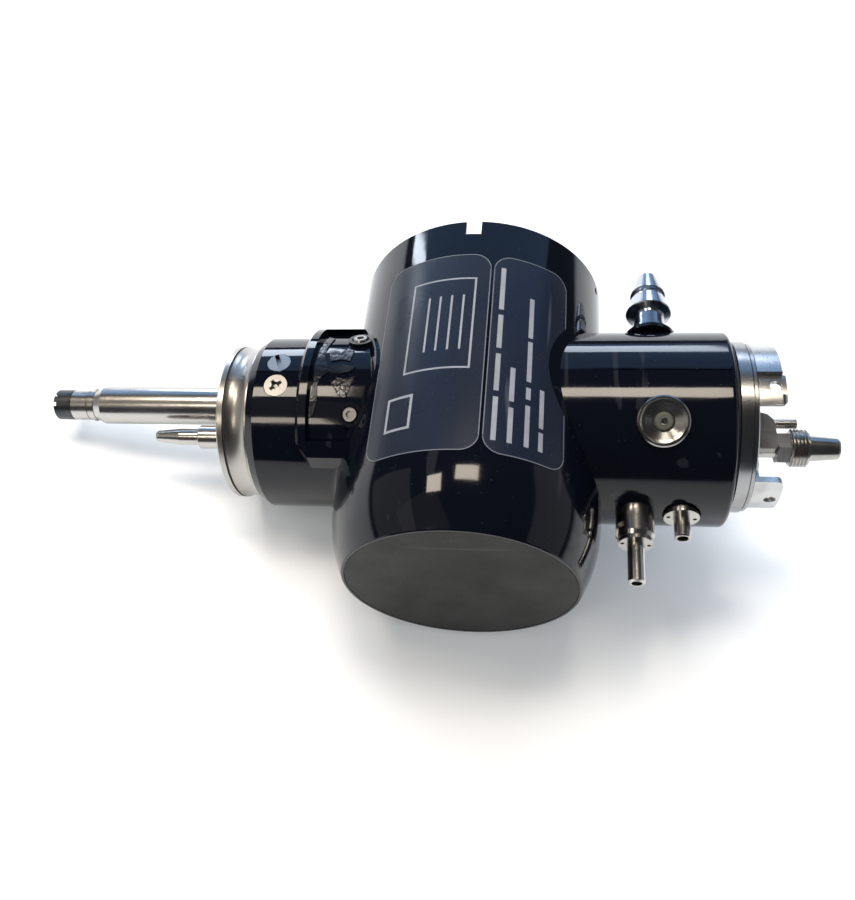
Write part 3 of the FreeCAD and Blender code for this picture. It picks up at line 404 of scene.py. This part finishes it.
# ---------------------------------------------------------------- stage
def area(name, centre, size_x, size_y, radiance, colour, towards=None):
    """A soft rectangle of light of even radiance, facing straight down unless it is turned to a point."""
    light = bpy.data.lights.new(name, "AREA")
    light.shape = "RECTANGLE"
    light.size = size_x
    light.size_y = size_y
    light.energy = radiance * math.pi * size_x * size_y
    light.color = colour
    lamp = bpy.data.objects.new(name, light)
    lamp.location = centre
    if towards is not None:
        lamp.rotation_euler = (Vector(towards) - Vector(centre)).to_track_quat("-Z", "Y").to_euler()
    lamp.visible_camera = False
    bpy.context.scene.collection.objects.link(lamp)
    return lamp


TARGET = (0.0, 0.0, 0.03)
CEILING = 1.03
CEILING_GLOW = 15.0
WARM = (1.0, 0.88, 0.74)
COOL = (0.78, 0.87, 1.0)
SKY = (0.30, 0.56, 1.0)
area("ceiling_lamp_left", (-0.62, 0.12, CEILING), 0.27, 0.26, CEILING_GLOW, WARM)
area("ceiling_lamp_right", (-0.11, 0.245, CEILING), 0.32, 0.21, CEILING_GLOW, WARM)
area("ceiling_lamp_front", (-0.70, -0.70, CEILING), 0.26, 0.20, 10.0, WARM)
area("window", (0.06, 1.35, 0.48), 0.30, 0.30, 8.5, COOL, TARGET)
area("window_left", (-0.60, 1.40, 0.34), 0.30, 0.36, 11.0, COOL, TARGET)
area("window_streak", (-1.37, 1.40, 0.43), 0.09, 0.40, 17.0, COOL, TARGET)
area("sky_wall", (-0.10, 1.75, 0.95), 3.2, 1.5, 0.75, SKY, TARGET)
area("left_wall", (-1.7, -0.2, 0.7), 1.8, 1.2, 0.36, (1.0, 0.96, 0.90), TARGET)
area("front_left_wall", (-0.95, -0.50, 1.10), 1.0, 1.0, 0.17, (1.0, 0.94, 0.84), TARGET)
area("right_wall", (1.7, 0.2, 0.7), 1.8, 1.2, 0.35, (0.94, 0.97, 1.0), TARGET)
# these two light the table and leave no reflection
for soft in (area("fill", (-0.30, 0.85, 1.50), 1.5, 1.3, 4.4, (0.95, 0.975, 1.0), TARGET),
             area("near_fill", (0.0, -0.9, 1.6), 2.4, 1.4, 1.15, (0.93, 0.965, 1.0), TARGET)):
    soft.visible_glossy = False

world = bpy.data.worlds.new("room")
world.use_nodes = True
background = world.node_tree.nodes["Background"]
background.inputs["Color"].default_value = (0.86, 0.90, 1.0, 1.0)
background.inputs["Strength"].default_value = 0.05
bpy.context.scene.world = world
bpy.context.scene.view_settings.view_transform = "Standard"

FLOOR_HALF = 3.0
floor_mesh = bpy.data.meshes.new("floor")
floor_mesh.from_pydata([(-FLOOR_HALF, -FLOOR_HALF, 0), (FLOOR_HALF, -FLOOR_HALF, 0),
                        (FLOOR_HALF, FLOOR_HALF, 0), (-FLOOR_HALF, FLOOR_HALF, 0)], [], [(0, 1, 2, 3)])
floor = bpy.data.objects.new("floor", floor_mesh)
bpy.context.scene.collection.objects.link(floor)
paper = Look("floor_paper", (0.90, 0.91, 0.92), 0.85)
paper.set("Emission Color", (0.97, 1.0, 1.0, 1.0))
paper.set("Emission Strength", 0.10)
paper.bump(paper.noise(240, 3.0), 0.00002)
floor_mesh.materials.append(paper.mat)

# ---------------------------------------------------------------- camera
CAMERA_AT = laid(21.62, -121.31, 178.52)
FORWARD = Vector((0.0213, 0.532, -0.8464)).normalized()
RIGHT = Vector((0.9921, 0.0934, 0.0837))
RIGHT = (RIGHT - FORWARD * RIGHT.dot(FORWARD)).normalized()
UP = RIGHT.cross(FORWARD)
camera_data = bpy.data.cameras.new("camera")
camera_data.sensor_width = 36.0
camera_data.lens = 36.81
camera_data.clip_start = 0.01
camera = bpy.data.objects.new("camera", camera_data)
camera.matrix_world = Matrix.Translation(CAMERA_AT) @ Matrix((RIGHT, UP, -FORWARD)).transposed().to_4x4()
bpy.context.scene.collection.objects.link(camera)
bpy.context.scene.camera = camera
